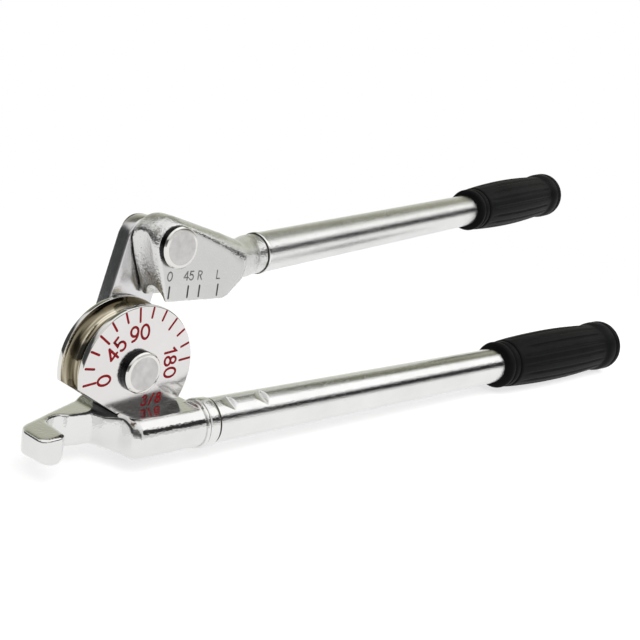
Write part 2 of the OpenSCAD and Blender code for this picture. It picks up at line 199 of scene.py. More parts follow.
def polar(radius, degrees):
    a = math.radians(degrees)
    return radius * math.cos(a), radius * math.sin(a)


def at_shoe():
    """The shoe's own place: its pin at the end of the link."""
    return Matrix.Translation((*polar(LINK_LEN, LINK_ANGLE), 0)) @ spin("Z", SHOE_TILT)


def along_lower(s):
    """A place on the fixed handle's axis, with z along it."""
    return Matrix.Translation(LOWER_AXIS) @ spin("Y", 90 - LOWER_SPLAY) @ Matrix.Translation((0, 0, s))


def along_upper(s):
    """A place on the moving handle's axis, with z along it."""
    turned = spin("Z", UPPER_RISE) @ spin("Y", 90 + UPPER_SPLAY)
    return at_shoe() @ Matrix.Translation(UPPER_START) @ turned @ Matrix.Translation((0, 0, s))


# Meshes
def smooth_all(obj, sharp=40):
    mesh = obj.data
    mesh.polygons.foreach_set("use_smooth", [True] * len(mesh.polygons))
    mesh.set_sharp_from_angle(angle=math.radians(sharp))


def finish_shading(obj, sharp):
    bm = bmesh.new()
    bm.from_mesh(obj.data)
    bmesh.ops.recalc_face_normals(bm, faces=bm.faces)
    bm.to_mesh(obj.data)
    bm.free()
    smooth_all(obj, sharp)


def make_object(name, verts, faces, matrix=UNMOVED, sharp=30):
    """A mesh from tool millimetres, placed by matrix, in the shared frame."""
    mesh = bpy.data.meshes.new(name)
    mesh.from_pydata([tuple(v) for v in verts], [], [tuple(f) for f in faces])
    mesh.validate()
    mesh.transform(ROW @ matrix)
    mesh.update()
    obj = bpy.data.objects.new(name, mesh)
    scene.collection.objects.link(obj)
    finish_shading(obj, sharp)
    return obj


def rounded(points, radii, steps=4):
    """A profile with its inner corners rounded: points are (r, s), radii one each."""
    out = []
    count = len(points)
    for i, (p, rad) in enumerate(zip(points, radii)):
        if rad <= 0 or i in (0, count - 1):
            out.append(tuple(p))
            continue
        p = Vector(p)
        a = (Vector(points[i - 1]) - p).normalized()
        b = (Vector(points[i + 1]) - p).normalized()
        half = a.angle(b) / 2
        reach = rad / math.tan(half)
        centre = p + (a + b).normalized() * (rad / math.sin(half))
        start = p + a * reach - centre
        end = p + b * reach - centre
        turn = start.angle_signed(end)
        for k in range(steps + 1):
            t = -turn * k / steps
            c, s = math.cos(t), math.sin(t)
            out.append((centre.x + start.x * c - start.y * s, centre.y + start.x * s + start.y * c))
    return out


def lathe(profile, segments=128, from_deg=0.0, to_deg=360.0, shape=None):
    """Vertices and faces of a profile of (r, s) turned round the z axis."""
    full = abs(to_deg - from_deg) > 359.9
    rings = segments if full else segments + 1
    verts, faces = [], []
    for k in range(rings):
        a = math.radians(from_deg + (to_deg - from_deg) * k / segments)
        c, s = math.cos(a), math.sin(a)
        for r, z in profile:
            if shape:
                r = shape(r, z, a)
            verts.append((r * c, r * s, z))
    n = len(profile)
    for k in range(segments):
        a = k * n
        b = ((k + 1) % rings) * n
        for i in range(n - 1):
            faces.append((a + i, b + i, b + i + 1, a + i + 1))
    if not full:
        faces.append(tuple(range(n)))
        faces.append(tuple(range((rings - 1) * n, rings * n)))
    return verts, faces


def closed_lathe(profile, **kw):
    """A lathe whose profile is a closed loop."""
    return lathe(list(profile) + [profile[0]], **kw)


def weld(obj, dist=1e-8):
    bm = bmesh.new()
    bm.from_mesh(obj.data)
    bmesh.ops.remove_doubles(bm, verts=bm.verts, dist=dist)
    bmesh.ops.dissolve_degenerate(bm, edges=bm.edges, dist=dist)
    bm.to_mesh(obj.data)
    bm.free()


def discard(obj):
    mesh = obj.data
    bpy.data.objects.remove(obj)
    bpy.data.meshes.remove(mesh)


def applied(obj):
    """Replaces an object's mesh by its mesh with the modifiers applied."""
    dg = bpy.context.evaluated_depsgraph_get()
    mesh = bpy.data.meshes.new_from_object(obj.evaluated_get(dg))
    obj.modifiers.clear()
    old = obj.data
    obj.data = mesh
    bpy.data.meshes.remove(old)


def cut(obj, cutters):
    """Takes each cutter out of obj."""
    for c in cutters:
        mod = obj.modifiers.new("cut", "BOOLEAN")
        mod.operation = "DIFFERENCE"
        mod.solver = "MANIFOLD"
        mod.object = c
    applied(obj)
    for c in cutters:
        discard(c)


def bisect(obj, point, normal):
    """Cuts away the side of a plane that normal points to, and closes the cut."""
    bm = bmesh.new()
    bm.from_mesh(obj.data)
    co = ROW @ Vector(point)
    no = (ROW.to_3x3() @ Vector(normal)).normalized()
    geom = list(bm.verts) + list(bm.edges) + list(bm.faces)
    out = bmesh.ops.bisect_plane(bm, geom=geom, plane_co=co, plane_no=no, clear_outer=True)
    edges = [e for e in out["geom_cut"] if isinstance(e, bmesh.types.BMEdge)]
    bmesh.ops.contextual_create(bm, geom=edges)
    bm.to_mesh(obj.data)
    bm.free()


# Marks
def arc(cx, cy, rx, ry, from_deg, to_deg, steps=14):
    angles = [math.radians(from_deg + (to_deg - from_deg) * k / steps) for k in range(steps + 1)]
    return [(cx + rx * math.cos(a), cy + ry * math.sin(a)) for a in angles]


def ring(cx, cy, rx, ry):
    return arc(cx, cy, rx, ry, 90, 450, 28)[:-1]


THREE = arc(0.27, 0.74, 0.25, 0.26, 155, -88) + arc(0.26, 0.25, 0.3, 0.25, 80, -155)
FIVE = [(0.54, 1.0), (0.12, 1.0), (0.07, 0.56)] + arc(0.28, 0.31, 0.31, 0.31, 125, -150)
NINE_TAIL = [(0.61, 0.68), (0.6, 0.52), (0.55, 0.33), (0.46, 0.17), (0.32, 0.05), (0.12, 0.0)]
R_BOWL = [(0.0, 1.0), (0.28, 1.0)] + arc(0.28, 0.76, 0.25, 0.24, 80, -90) + [(0.0, 0.52)]
# Each character's width and its strokes of (closed, points), in a box one high
GLYPHS = {
    "0": (0.66, [(True, ring(0.33, 0.5, 0.33, 0.5))]),
    "1": (0.34, [(False, [(0.02, 0.80), (0.26, 1.0), (0.26, 0.0)])]),
    "3": (0.58, [(False, THREE)]),
    "4": (
        0.68,
        [
            (False, [(0.5, 0.0), (0.5, 1.0)]),
            (False, [(0.48, 0.98), (0.02, 0.3)]),
            (False, [(0.02, 0.3), (0.68, 0.3)]),
        ],
    ),
    "5": (0.6, [(False, FIVE)]),
    "8": (0.62, [(True, ring(0.31, 0.755, 0.24, 0.245)), (True, ring(0.31, 0.255, 0.31, 0.255))]),
    "9": (0.62, [(True, ring(0.31, 0.67, 0.3, 0.33)), (False, NINE_TAIL)]),
    "/": (0.4, [(False, [(0.0, -0.05), (0.4, 1.05)])]),
    "R": (
        0.56,
        [
            (False, [(0.0, 0.0), (0.0, 1.0)]),
            (False, R_BOWL),
            (False, [(0.26, 0.52), (0.55, 0.0)]),
        ],
    ),
    "L": (0.5, [(False, [(0.0, 1.0), (0.0, 0.0), (0.48, 0.0)])]),
}


def offset_points(points, half, closed):
    """Left and right lines of a stroke, with mitred corners."""
    p = [Vector(q) for q in points]
    n = len(p)
    left, right = [], []
    for i in range(n):
        before = p[i] - p[i - 1] if (closed or i > 0) else p[1] - p[0]
        after = p[(i + 1) % n] - p[i] if (closed or i < n - 1) else p[-1] - p[-2]
        before.normalize()
        after.normalize()
        na = Vector((-before.y, before.x))
        nb = Vector((-after.y, after.x))
        m = (na + nb).normalized()
        k = half / max(0.45, m.dot(na))
        left.append(p[i] + m * k)
        right.append(p[i] - m * k)
    return left, right


def round_cap(tip, side, steps=6):
    """The points half round a stroke's tip, from one side to the other."""
    tip = Vector(tip)
    start = side - tip
    out = []
    for k in range(1, steps):
        a = -math.pi * k / steps
        c, s = math.cos(a), math.sin(a)
        out.append(tip + Vector((start.x * c - start.y * s, start.x * s + start.y * c)))
    return out


def stroke_prism(points, width, closed, z0, z1):
    """A stroke as a closed prism between two heights, round at its ends."""
    left, right = offset_points(points, width / 2, closed)
    verts, faces = [], []
    if closed:
        n = len(points)
        for z in (z0, z1):
            verts += [(v.x, v.y, z) for v in left]
            verts += [(v.x, v.y, z) for v in right]
        for i in range(n):
            j = (i + 1) % n
            faces.append((i, j, n + j, n + i))
            faces.append((2 * n + j, 2 * n + i, 3 * n + i, 3 * n + j))
            faces.append((j, i, 2 * n + i, 2 * n + j))
            faces.append((n + i, n + j, 3 * n + j, 3 * n + i))
        return verts, faces
    outline = left + round_cap(points[-1], left[-1])
    outline += right[::-1] + round_cap(points[0], right[0])
    n = len(outline)
    verts = [(v.x, v.y, z0) for v in outline] + [(v.x, v.y, z1) for v in outline]
    faces.append(tuple(range(n)))
    faces.append(tuple(range(2 * n - 1, n - 1, -1)))
    for i in range(n):
        j = (i + 1) % n
        faces.append((i, n + i, n + j, j))
    return verts, faces


def text_strokes(text, centre, up_deg, height, gap=0.16, lean=0.0):
    """The strokes of a word, centred, with its up direction at an angle."""
    widths = [GLYPHS[c][0] for c in text]
    total = sum(widths) + gap * (len(text) - 1)
    up = Vector(polar(1, up_deg))
    along = Vector((up.y, -up.x))
    x = -total / 2
    out = []
    for c, w in zip(text, widths):
        for closed, points in GLYPHS[c][1]:
            moved = []
            for px, py in points:
                q = Vector(centre) + along * ((x + px + lean * py) * height) + up * ((py - 0.5) * height)
                moved.append((q.x, q.y))
            out.append((closed, moved))
        x += w + gap
    return out


def prisms(strokes, width, z0, z1, matrix=UNMOVED):
    """One cutter for each stroke."""
    made = []
    for i, (closed, points) in enumerate(strokes):
        v, f = stroke_prism(points, width, closed, z0, z1)
        made.append(make_object(f"cutter_{i}", v, f, matrix))
    return made


def joined_prisms(name, strokes, width, z0, z1, matrix=UNMOVED):
    """All strokes in one piece, with tops a hair apart so that no two of them share a plane."""
    verts, faces = [], []
    for i, (closed, points) in enumerate(strokes):
        v, f = stroke_prism(points, width, closed, z0, z1 - TOP_STEP * (i % 3))
        base = len(verts)
        verts += v
        faces += [tuple(base + k for k in face) for face in f]
    return make_object(name, verts, faces, matrix)


# Materials
class Tree:
    """A node tree, with the few kinds of node that the looks are made of."""

    def __init__(self, tree):
        self.tree = tree

    def node(self, kind, **values):
        n = self.tree.nodes.new(kind)
        for key, value in values.items():
            setattr(n, key, value)
        return n

    def link(self, source, socket):
        self.tree.links.new(source, socket)

    def math(self, operation, a, b=None):
        n = self.node("ShaderNodeMath", operation=operation)
        for socket, value in zip(n.inputs, (a, b)):
            if isinstance(value, (int, float)):
                socket.default_value = value
            elif value is not None:
                self.link(value, socket)
        return n.outputs[0]

    def remap(self, value, a, b, lo=0.0, hi=1.0, kind="LINEAR"):
        n = self.node("ShaderNodeMapRange", interpolation_type=kind)
        for name, number in (("From Min", a), ("From Max", b), ("To Min", lo), ("To Max", hi)):
            n.inputs[name].default_value = number
        self.link(value, n.inputs["Value"])
        return n.outputs["Result"]

    def smooth(self, value, a, b, lo=0.0, hi=1.0):
        return self.remap(value, a, b, lo, hi, "SMOOTHSTEP")

    def window(self, value, lo, hi, soft):
        """One between lo and hi and nought outside, with soft edges."""
        rise = self.smooth(value, lo - soft, lo + soft)
        fall = self.smooth(value, hi - soft, hi + soft, 1.0, 0.0)
        return self.math("MULTIPLY", rise, fall)

    def ramp(self, fac, stops):
        n = self.node("ShaderNodeValToRGB")
        elements = n.color_ramp.elements
        while len(elements) < len(stops):
            elements.new(0.5)
        for element, (place, colour) in zip(elements, stops):
            element.position = place
            element.color = (*colour, 1.0)
        self.link(fac, n.inputs["Fac"])
        return n.outputs["Color"]

    def mix(self, fac, a, b):
        n = self.node("ShaderNodeMix", data_type="RGBA")
        self.link(fac, n.inputs["Factor"])
        for socket, colour in ((n.inputs[6], a), (n.inputs[7], b)):
            if isinstance(colour, tuple):
                socket.default_value = (*colour, 1.0)
            else:
                self.link(colour, socket)
        return n.outputs[2]

    def mix_shaders(self, fac, a, b):
        n = self.node("ShaderNodeMixShader")
        if isinstance(fac, float):
            n.inputs["Fac"].default_value = fac
        else:
            self.link(fac, n.inputs["Fac"])
        self.link(a, n.inputs[1])
        self.link(b, n.inputs[2])
        return n.outputs[0]


class Surface(Tree):
    """One material: a principled shader, its constants, and patterns in object coordinates."""

    def __init__(self, name, **constants):
        self.mat = bpy.data.materials.new(name)
        self.mat.use_nodes = True
        super().__init__(self.mat.node_tree)
        self.bsdf = next(n for n in self.tree.nodes if n.type == "BSDF_PRINCIPLED")
        self.object = self.node("ShaderNodeTexCoord").outputs["Object"]
        for key, value in constants.items():
            self.bsdf.inputs[key.replace("_", " ")].default_value = value

    def feed(self, **sources):
        for key, source in sources.items():
            self.link(source, self.bsdf.inputs[key.replace("_", " ")])

    def stretched(self, scale):
        m = self.node("ShaderNodeMapping")
        m.inputs["Scale"].default_value = scale
        self.link(self.object, m.inputs["Vector"])
        return m.outputs["Vector"]

    def noise(self, scale, detail=4.0, rough=0.55, vector=None):
        n = self.node("ShaderNodeTexNoise")
        n.inputs["Scale"].default_value = scale
        n.inputs["Detail"].default_value = detail
        n.inputs["Roughness"].default_value = rough
        self.link(vector or self.object, n.inputs["Vector"])
        return n.outputs["Fac"]

    def bump(self, height, strength, distance, normal=None):
        n = self.node("ShaderNodeBump")
        n.inputs["Strength"].default_value = strength
        n.inputs["Distance"].default_value = distance
        self.link(height, n.inputs["Height"])
        if normal:
            self.link(normal, n.inputs["Normal"])
        return n.outputs["Normal"]


def metal(
    name, light, dark, rough, grain, bump,
    deep=0.00008, detail=6.0, wave=0.0, wave_scale=60.0, cloud=45.0,
):
    """Plated or bare metal: clouded colour, grainy gloss and a fine uneven skin."""
    s = Surface(name, Metallic=1.0)
    fine = s.noise(grain, detail, 0.6)
    normal = s.bump(fine, bump, deep)
    if wave:
        normal = s.bump(s.noise(wave_scale, 2.0, 0.4), wave, 0.0006, normal)
    s.feed(
        Base_Color=s.ramp(s.noise(cloud, 5.0), [(0.3, dark), (0.7, light)]),
        Roughness=s.remap(fine, 0.3, 0.7, *rough),
        Normal=normal,
    )
    return s.mat


# Each metal's light and dark colour, range of roughness, grain per metre and bump
METALS = {
    "cast_chrome": dict(
        light=(0.85, 0.85, 0.84), dark=(0.78, 0.78, 0.77), rough=(0.05, 0.12), grain=1300.0, bump=0.65,
        detail=1.0, wave=0.05, wave_scale=140.0,
    ),
    "tube_chrome": dict(
        light=(0.87, 0.87, 0.86), dark=(0.81, 0.81, 0.80), rough=(0.03, 0.09), grain=2100.0, bump=1.0,
        deep=0.00007, detail=1.0, wave=0.02, wave_scale=110.0,
    ),
    "tube_satin": dict(
        light=(0.85, 0.85, 0.84), dark=(0.78, 0.78, 0.77), rough=(0.09, 0.17), grain=1900.0, bump=1.0,
        deep=0.00013, detail=1.5, wave=0.02, wave_scale=110.0,
    ),
    "shoe_chrome": dict(
        light=(0.80, 0.80, 0.79), dark=(0.72, 0.72, 0.71), rough=(0.16, 0.28), grain=1100.0, bump=1.0,
        deep=0.0002, detail=2.0, wave=0.05, wave_scale=120.0,
    ),
    "shoe_face": dict(
        light=(0.70, 0.70, 0.69), dark=(0.64, 0.64, 0.63), rough=(0.26, 0.34), grain=1800.0, bump=0.12,
        wave=0.04, wave_scale=120.0,
    ),
    "polished": dict(
        light=(0.84, 0.83, 0.80), dark=(0.77, 0.76, 0.73), rough=(0.04, 0.10), grain=900.0, bump=0.12,
        wave=0.04, wave_scale=160.0,
    ),
    "face_steel": dict(
        light=(0.83, 0.81, 0.80), dark=(0.77, 0.75, 0.74), rough=(0.13, 0.2), grain=2200.0, bump=0.06,
        wave=0.02, wave_scale=90.0,
    ),
    "pin_face": dict(
        light=(0.70, 0.68, 0.68), dark=(0.57, 0.55, 0.55), rough=(0.3, 0.42), grain=1800.0, bump=0.12,
        wave=0.05, wave_scale=300.0, cloud=330.0,
    ),
    # The pins' head sides: near black, a painted dark reflection
    "pin_side_painted_dark": dict(
        light=(0.020, 0.020, 0.022), dark=(0.008, 0.008, 0.009), rough=(0.2, 0.36),
        grain=1200.0, bump=0.3,
    ),
    # Dark lines at the ferrules' joints: dirt, and painted shade in the gaps
    "dirt_and_shade": dict(
        light=(0.10, 0.085, 0.065), dark=(0.05, 0.042, 0.035), rough=(0.4, 0.6), grain=1600.0, bump=0.5
    ),
    "link_steel": dict(
        light=(0.80, 0.79, 0.80), dark=(0.70, 0.69, 0.70), rough=(0.12, 0.24), grain=1500.0, bump=0.25,
        wave=0.04, wave_scale=90.0,
    ),
    "bare_steel": dict(
        light=(0.62, 0.61, 0.60), dark=(0.50, 0.49, 0.48), rough=(0.2, 0.36), grain=1400.0, bump=0.4
    ),
    # Near-black steel for the screw and the rings; the same finish is painted shade on the wheel's cut
    # flats
    "dark_steel": dict(
        light=(0.09, 0.09, 0.095), dark=(0.05, 0.05, 0.052), rough=(0.28, 0.48), grain=1100.0, bump=0.5
    ),
    "bronze": dict(
        light=(0.60, 0.42, 0.20), dark=(0.46, 0.30, 0.13), rough=(0.25, 0.42), grain=1300.0, bump=0.5
    ),
}


def groove_material():
    """Steel browned by use, with painted reflections: dark and bright streaks that run round the groove.
    """
    s = Surface("groove_steel_and_painted_streaks", Metallic=1.0)
    # painted reflection: streaks stretched round the groove, from brown through to bright cream
    painted_streaks = s.noise(620.0, 2.0, 0.55, s.stretched((0.05, 1.0, 0.05)))
    fine = s.noise(900.0, 3.0, 0.6)
    brown_and_reflection_tones = [(0.40, (0.10, 0.082, 0.05)), (0.53, (0.30, 0.26, 0.18)), (0.66, (0.85, 0.79, 0.64))]
    s.feed(
        Base_Color=s.ramp(painted_streaks, brown_and_reflection_tones),
        Roughness=s.remap(fine, 0.3, 0.7, 0.05, 0.13),
        Normal=s.bump(painted_streaks, 0.25, 0.0003, s.bump(fine, 0.2, 0.00008)),
    )
    return s.mat


def paint_material():
    s = Surface("red_paint", Specular_IOR_Level=0.12)
    fac = s.noise(900.0, 5.0, 0.6)
    s.feed(
        Base_Color=s.ramp(fac, [(0.3, (0.125, 0.003, 0.005)), (0.7, (0.20, 0.006, 0.009))]),
        Roughness=s.remap(fac, 0.3, 0.7, 0.5, 0.7),
        Normal=s.bump(s.noise(2500.0, 4.0), 0.4, 0.00005),
    )
    return s.mat


def stamp_shade_material(name, dark, light):
    """Painted shade: a dark fill at the bottom of stamped marks."""
    s = Surface(name, Metallic=0.6)
    fac = s.noise(1600.0, 5.0, 0.6)
    s.feed(
        Base_Color=s.ramp(fac, [(0.3, dark), (0.7, light)]),
        Roughness=s.remap(fac, 0.3, 0.7, 0.45, 0.7),
        Normal=s.bump(fac, 0.5, 0.00006),
    )
    return s.mat


def grip_material():
    """Black moulded vinyl with a fine matt grain."""
    s = Surface("grip_vinyl", Specular_IOR_Level=0.065)
    cloud = s.noise(70.0, 5.0, 0.6)
    fine = s.noise(2600.0, 5.0, 0.65)
    s.feed(
        Base_Color=s.ramp(cloud, [(0.3, (0.0022, 0.0023, 0.0025)), (0.75, (0.0044, 0.0045, 0.0048))]),
        Roughness=s.remap(fine, 0.3, 0.7, 0.42, 0.6),
        Normal=s.bump(s.noise(220.0, 2.0), 0.08, 0.0004, s.bump(fine, 0.35, 0.00007)),
    )
    return s.mat


def plug_material():
    s = Surface("plug_plastic")
    fac = s.noise(400.0, 4.0)
    s.feed(
        Base_Color=s.ramp(fac, [(0.3, (0.012, 0.012, 0.012)), (0.7, (0.03, 0.03, 0.03))]),
        Roughness=s.remap(fac, 0.3, 0.7, 0.4, 0.6),
    )
    return s.mat


FINISHES = {name: metal(name, **values) for name, values in METALS.items()}
FINISHES["groove_steel_and_painted_streaks"] = groove_material()
FINISHES["paint"] = paint_material()
# painted shade in the shoe's stamped marks: near black in the marks, grey in the letters
FINISHES["stamp"] = stamp_shade_material("stamp_painted_shade", (0.03, 0.029, 0.028), (0.12, 0.115, 0.11))
FINISHES["stamp_grey_shade"] = stamp_shade_material("stamp_grey_shade", (0.10, 0.10, 0.10), (0.36, 0.36, 0.35))
FINISHES["grip"] = grip_material()
FINISHES["plug"] = plug_material()


def wear(obj, *names):
    """Gives an object its finishes, in the order that its faces count them."""
    obj.data.materials.clear()
    for name in names:
        obj.data.materials.append(FINISHES[name])


def set_faces(obj, pick):
    """Gives each face the finish whose number pick(face) says."""
    obj.data.polygons.foreach_set("material_index", [pick(p) for p in obj.data.polygons])


# Cast pieces: the solid's own form with its edges softened
def soft_copy(name, node, fill=None):
    """A node's form as an even skin of small faces, with fill added to it."""
    mesh = nodes[node].data.copy()
    obj = bpy.data.objects.new(name, mesh)
    scene.collection.objects.link(obj)
    if fill:
        bm = bmesh.new()
        bm.from_mesh(mesh)
        bm.from_mesh(fill.data)
        bm.to_mesh(mesh)
        bm.free()
        discard(fill)
    weld(obj, 1e-7)
    mod = obj.modifiers.new("skin", "REMESH")
    mod.mode = "VOXEL"
    mod.voxel_size = VOXEL * 0.001
    mod.adaptivity = 0.0
    applied(obj)
    return obj


def tool_points(mesh):
    """A mesh's points in tool millimetres."""
    co = np.zeros(len(mesh.vertices) * 3)
    mesh.vertices.foreach_get("co", co)
    co = co.reshape(-1, 3) * 1000.0
    return np.stack([co[:, 0], co[:, 2], -co[:, 1]], 1)


def relax(obj, passes, weight):
    """Laplacian softening; weight(points) gives each point's share."""
    mesh = obj.data
    edges = np.zeros(len(mesh.edges) * 2, np.int64)
    mesh.edges.foreach_get("vertices", edges)
    a, b = edges.reshape(-1, 2).T
    co = np.zeros(len(mesh.vertices) * 3)
    mesh.vertices.foreach_get("co", co)
    co = co.reshape(-1, 3)
    n = len(co)
    degree = np.bincount(a, minlength=n) + np.bincount(b, minlength=n)
    share = (0.5 * weight(tool_points(mesh)))[:, None]
    for _ in range(passes):
        total = np.stack(
            [
                np.bincount(a, co[b, k], minlength=n) + np.bincount(b, co[a, k], minlength=n)
                for k in range(3)
            ],
            1,
        )
        co += share * (total / degree[:, None] - co)
    mesh.vertices.foreach_set("co", co.ravel())
    mesh.update()


def step(x, lo, hi):
    t = np.clip((x - lo) / (hi - lo), 0, 1)
    return t * t * (3 - 2 * t)


def decimate(obj):
    mod = obj.modifiers.new("thin", "DECIMATE")
    mod.ratio = KEPT_FACES
    applied(obj)


def make_body():
    obj = soft_copy("body_casting", "lower_body")

    def everywhere(p):
        """Softest at the finger and the boss's free end, crisp at the handle's root."""
        finger = 1 - step(p[:, 0], -30, -24)
        boss_end = step(p[:, 2], 4, 8) * (1 - step(p[:, 0], -2, 4)) * step(p[:, 0], -16, -10)
        root = step(p[:, 0], 16, 19)
        return np.clip(0.4 + 0.3 * np.maximum(finger, boss_end) - 0.3 * root, 0.1, 1.0)

    def finger_end(p):
        return (1 - step(p[:, 0], -30, -26)) * (1 - step(p[:, 1], -24, -17)) * step(p[:, 2], 2, 8)

    relax(obj, BODY_PASSES, everywhere)
    relax(obj, FINGER_PASSES, finger_end)
    decimate(obj)
    smooth_all(obj)
    wear(obj, "cast_chrome")
    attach(obj, "fixed_handle")
    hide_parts("lower_body")


def mark_filler(matrix):
    """A plate that closes the solid's own marks, which are cut again finer."""
    depths = (SHOE_FRONT - MARKED_T, SHOE_FRONT)
    corners = [(x, y, z) for x in MARKED_X for y in MARKED_Y for z in depths]
    faces = [(0, 1, 3, 2), (4, 6, 7, 5), (0, 4, 5, 1), (2, 3, 7, 6), (0, 2, 6, 4), (1, 5, 7, 3)]
    return make_object("fill", corners, faces, matrix)


def make_shoe():
    m = at_shoe()
    obj = soft_copy("shoe_casting", "shoe_body", mark_filler(m))
    inverse = np.array(m.inverted())

    def own_frame(p):
        return p @ inverse[:3, :3].T + inverse[:3, 3]

    def everywhere(p):
        """Soft all over, but crisper at the lips of the tube's groove."""
        q = own_frame(p)
        groove = step(-q[:, 1], 14.0, 16.0) * (1 - step(q[:, 0], 30, 35))
        return np.clip(0.6 - 0.35 * groove, 0.1, 1.0)

    def neck(p):
        q = own_frame(p)
        return step(q[:, 0], 24, 31) * (1 - step(q[:, 0], 46, 54))

    relax(obj, SHOE_PASSES, everywhere)
    relax(obj, NECK_PASSES, neck)
    decimate(obj)
    marks = [(False, [(x, MARK_FROM), (x, MARK_TO)]) for x in SHOE_MARKS]
    letters = []
    for word, x in zip(SHOE_WORDS, SHOE_MARKS):
        letters += text_strokes(word, (x + LETTER_SHIFT, LETTER_Y), 90, LETTER_H)
    bottom = SHOE_FRONT - MARK_DEPTH
    for strokes, width in ((marks, MARK_W), (letters, LETTER_W)):
        cut(obj, prisms(strokes, width, bottom, SHOE_FRONT + 1.0, m))
    smooth_all(obj)
    wear(obj, "shoe_chrome", "shoe_face")
    front = -SHOE_FRONT * 0.001
    set_faces(obj, lambda p: int(p.normal.y < -0.985 and p.center.y < front + 0.0003))
    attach(obj, "moving_handle")
    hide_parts("shoe_body")
    # painted shade: dark fills laid at the bottom of the marks and letters
    for name, strokes, width, finish in (
        ("shoe_marks", marks, MARK_W, "stamp"),
        ("shoe_letters", letters, LETTER_W, "stamp_grey_shade"),
    ):
        shade_fill = joined_prisms(name, strokes, width - SHADE_FILL_GAP, bottom, bottom + SHADE_FILL_T, m)
        wear(shade_fill, finish)
        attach(shade_fill, "moving_handle")


# The former wheel, turned, cut flat, engraved and filled with paint
def wheel_profile():
    from_a = math.degrees(math.atan2(GROOVE_LIP, WHEEL_R - BEND_R))
    groove = []
    for k in range(29):
        x, z = polar(GROOVE_R, from_a + (360 - 2 * from_a) * k / 28)
        groove.append((BEND_R + x, z))
    groove = groove[2:-2]
    top = rounded(
        [(PIN_R + FIT, WHEEL_HALF), (WHEEL_R, WHEEL_HALF), (WHEEL_R, GROOVE_LIP), groove[0]],
        [0, RIM_ROUND, LIP_ROUND, 0],
    )[:-1]
    bottom = [(r, -z) for r, z in reversed(top)]
    return top + groove + bottom


def dial_strokes():
    """The dial's ticks, its numbers and the size mark."""
    ticks = []
    outer = WHEEL_R - TICK_EDGE
    for i in range(TICKS):
        a = ZERO_ANGLE - TICK_STEP * i
        inner = outer - (TICK_LONG if i % 3 == 0 else TICK_SHORT)
        ticks.append((False, [polar(outer, a), polar(inner, a)]))
    words = []
    for word, degrees, radius in DIAL_WORDS:
        a = ZERO_ANGLE - degrees
        words += text_strokes(word, polar(radius, a), a, NUMBER_H, gap=0.26)
    size = text_strokes("3/8", SIZE_AT, 90, SIZE_H, gap=0.42, lean=0.14)
    return ticks, words, size


def wheel_finish(p):
    """0 polished, 1 the flat faces, 2 the cut faces below, painted near black for the shade under the
    wheel, 3 the groove.
    """
    y = abs(p.center.y) * 1000
    if abs(p.normal.y) > 0.98 and y > WHEEL_HALF - 0.1:
        return 1
    # painted shade: the cut flats under the wheel take the near-black steel
    if p.normal.z < -0.7 and abs(p.normal.y) < 0.1 and p.center.z * 1000 < FLAT_FROM[1] + 0.2:
        return 2
    if y < GROOVE_LIP - 0.1 and math.hypot(p.center.x, p.center.z) * 1000 < WHEEL_R - 0.1:
        return 3
    return 0


def make_wheel():
    v, f = closed_lathe(wheel_profile(), segments=192)
    obj = make_object("former_wheel_dial", v, f)
    weld(obj)
    bisect(obj, (0, BED, 0), (0, -1, 0))
    d = (Vector(FLAT_TO) - Vector(FLAT_FROM)).normalized()
    bisect(obj, (*FLAT_FROM, 0), (d.y, -d.x, 0))
    ticks, words, size = dial_strokes()
    fills = (
        ("dial_ticks", ticks, TICK_W),
        ("dial_numbers", words, NUMBER_W),
        ("size_mark", size, SIZE_W),
    )
    bottom = WHEEL_HALF - DIAL_DEPTH
    for _, strokes, width in fills:
        cut(obj, prisms(strokes, width, bottom, WHEEL_HALF + 1))
    finish_shading(obj, 32)
    wear(obj, "polished", "face_steel", "dark_steel", "groove_steel_and_painted_streaks")
    set_faces(obj, wheel_finish)
    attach(obj, "fixed_handle")
    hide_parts("former_wheel")
    for name, strokes, width in fills:
        paint = joined_prisms(name, strokes, width - PAINT_GAP, bottom, WHEEL_HALF - PAINT_BELOW)
        wear(paint, "paint")
        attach(paint, "fixed_handle")


def make_pin(name, node, seat, matrix, body):
    """A headed pin with a rolled edge and a groove for its retaining ring."""
    top = seat + HEAD_H
    # each corner's radius, height and rounding
    corners = (
        (0.0, top, 0),
        (HEAD_R - HEAD_BEVEL, top, 0.6),
        (HEAD_R - 0.35 * HEAD_BEVEL, top - 0.25 * HEAD_FALL, 0.35),
        (HEAD_R, top - HEAD_FALL, 0.16),
        (HEAD_R, seat, 0.1),
        (PIN_R, seat, 0),
        (PIN_R, CLIP_TO, 0.05),
        (CLIP_R, CLIP_TO, 0),
        (CLIP_R, CLIP_FROM, 0),
        (PIN_R, CLIP_FROM, 0.05),
        (PIN_R, PIN_END, 0.6),
        (0.0, PIN_END, 0),
    )
    v, f = lathe(rounded([c[:2] for c in corners], [c[2] for c in corners]))
    obj = make_object(name, v, f, matrix, sharp=35)
    weld(obj)
    finish_shading(obj, 35)
    wear(obj, "polished", "pin_face", "pin_side_painted_dark", "bare_steel")
    local = (ROW @ matrix).inverted()

    def pick(p):
        c = local @ p.center
        if c.z > top - 0.02 and math.hypot(c.x, c.y) < HEAD_R - HEAD_BEVEL:
            return 1
        if c.z > top - HEAD_FALL - 0.05:
            return 0
        # the head's side is painted near black for the dark reflection it shows
        return 2 if c.z > seat - 0.02 else 3

    set_faces(obj, pick)
    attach(obj, body)
    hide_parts(node)


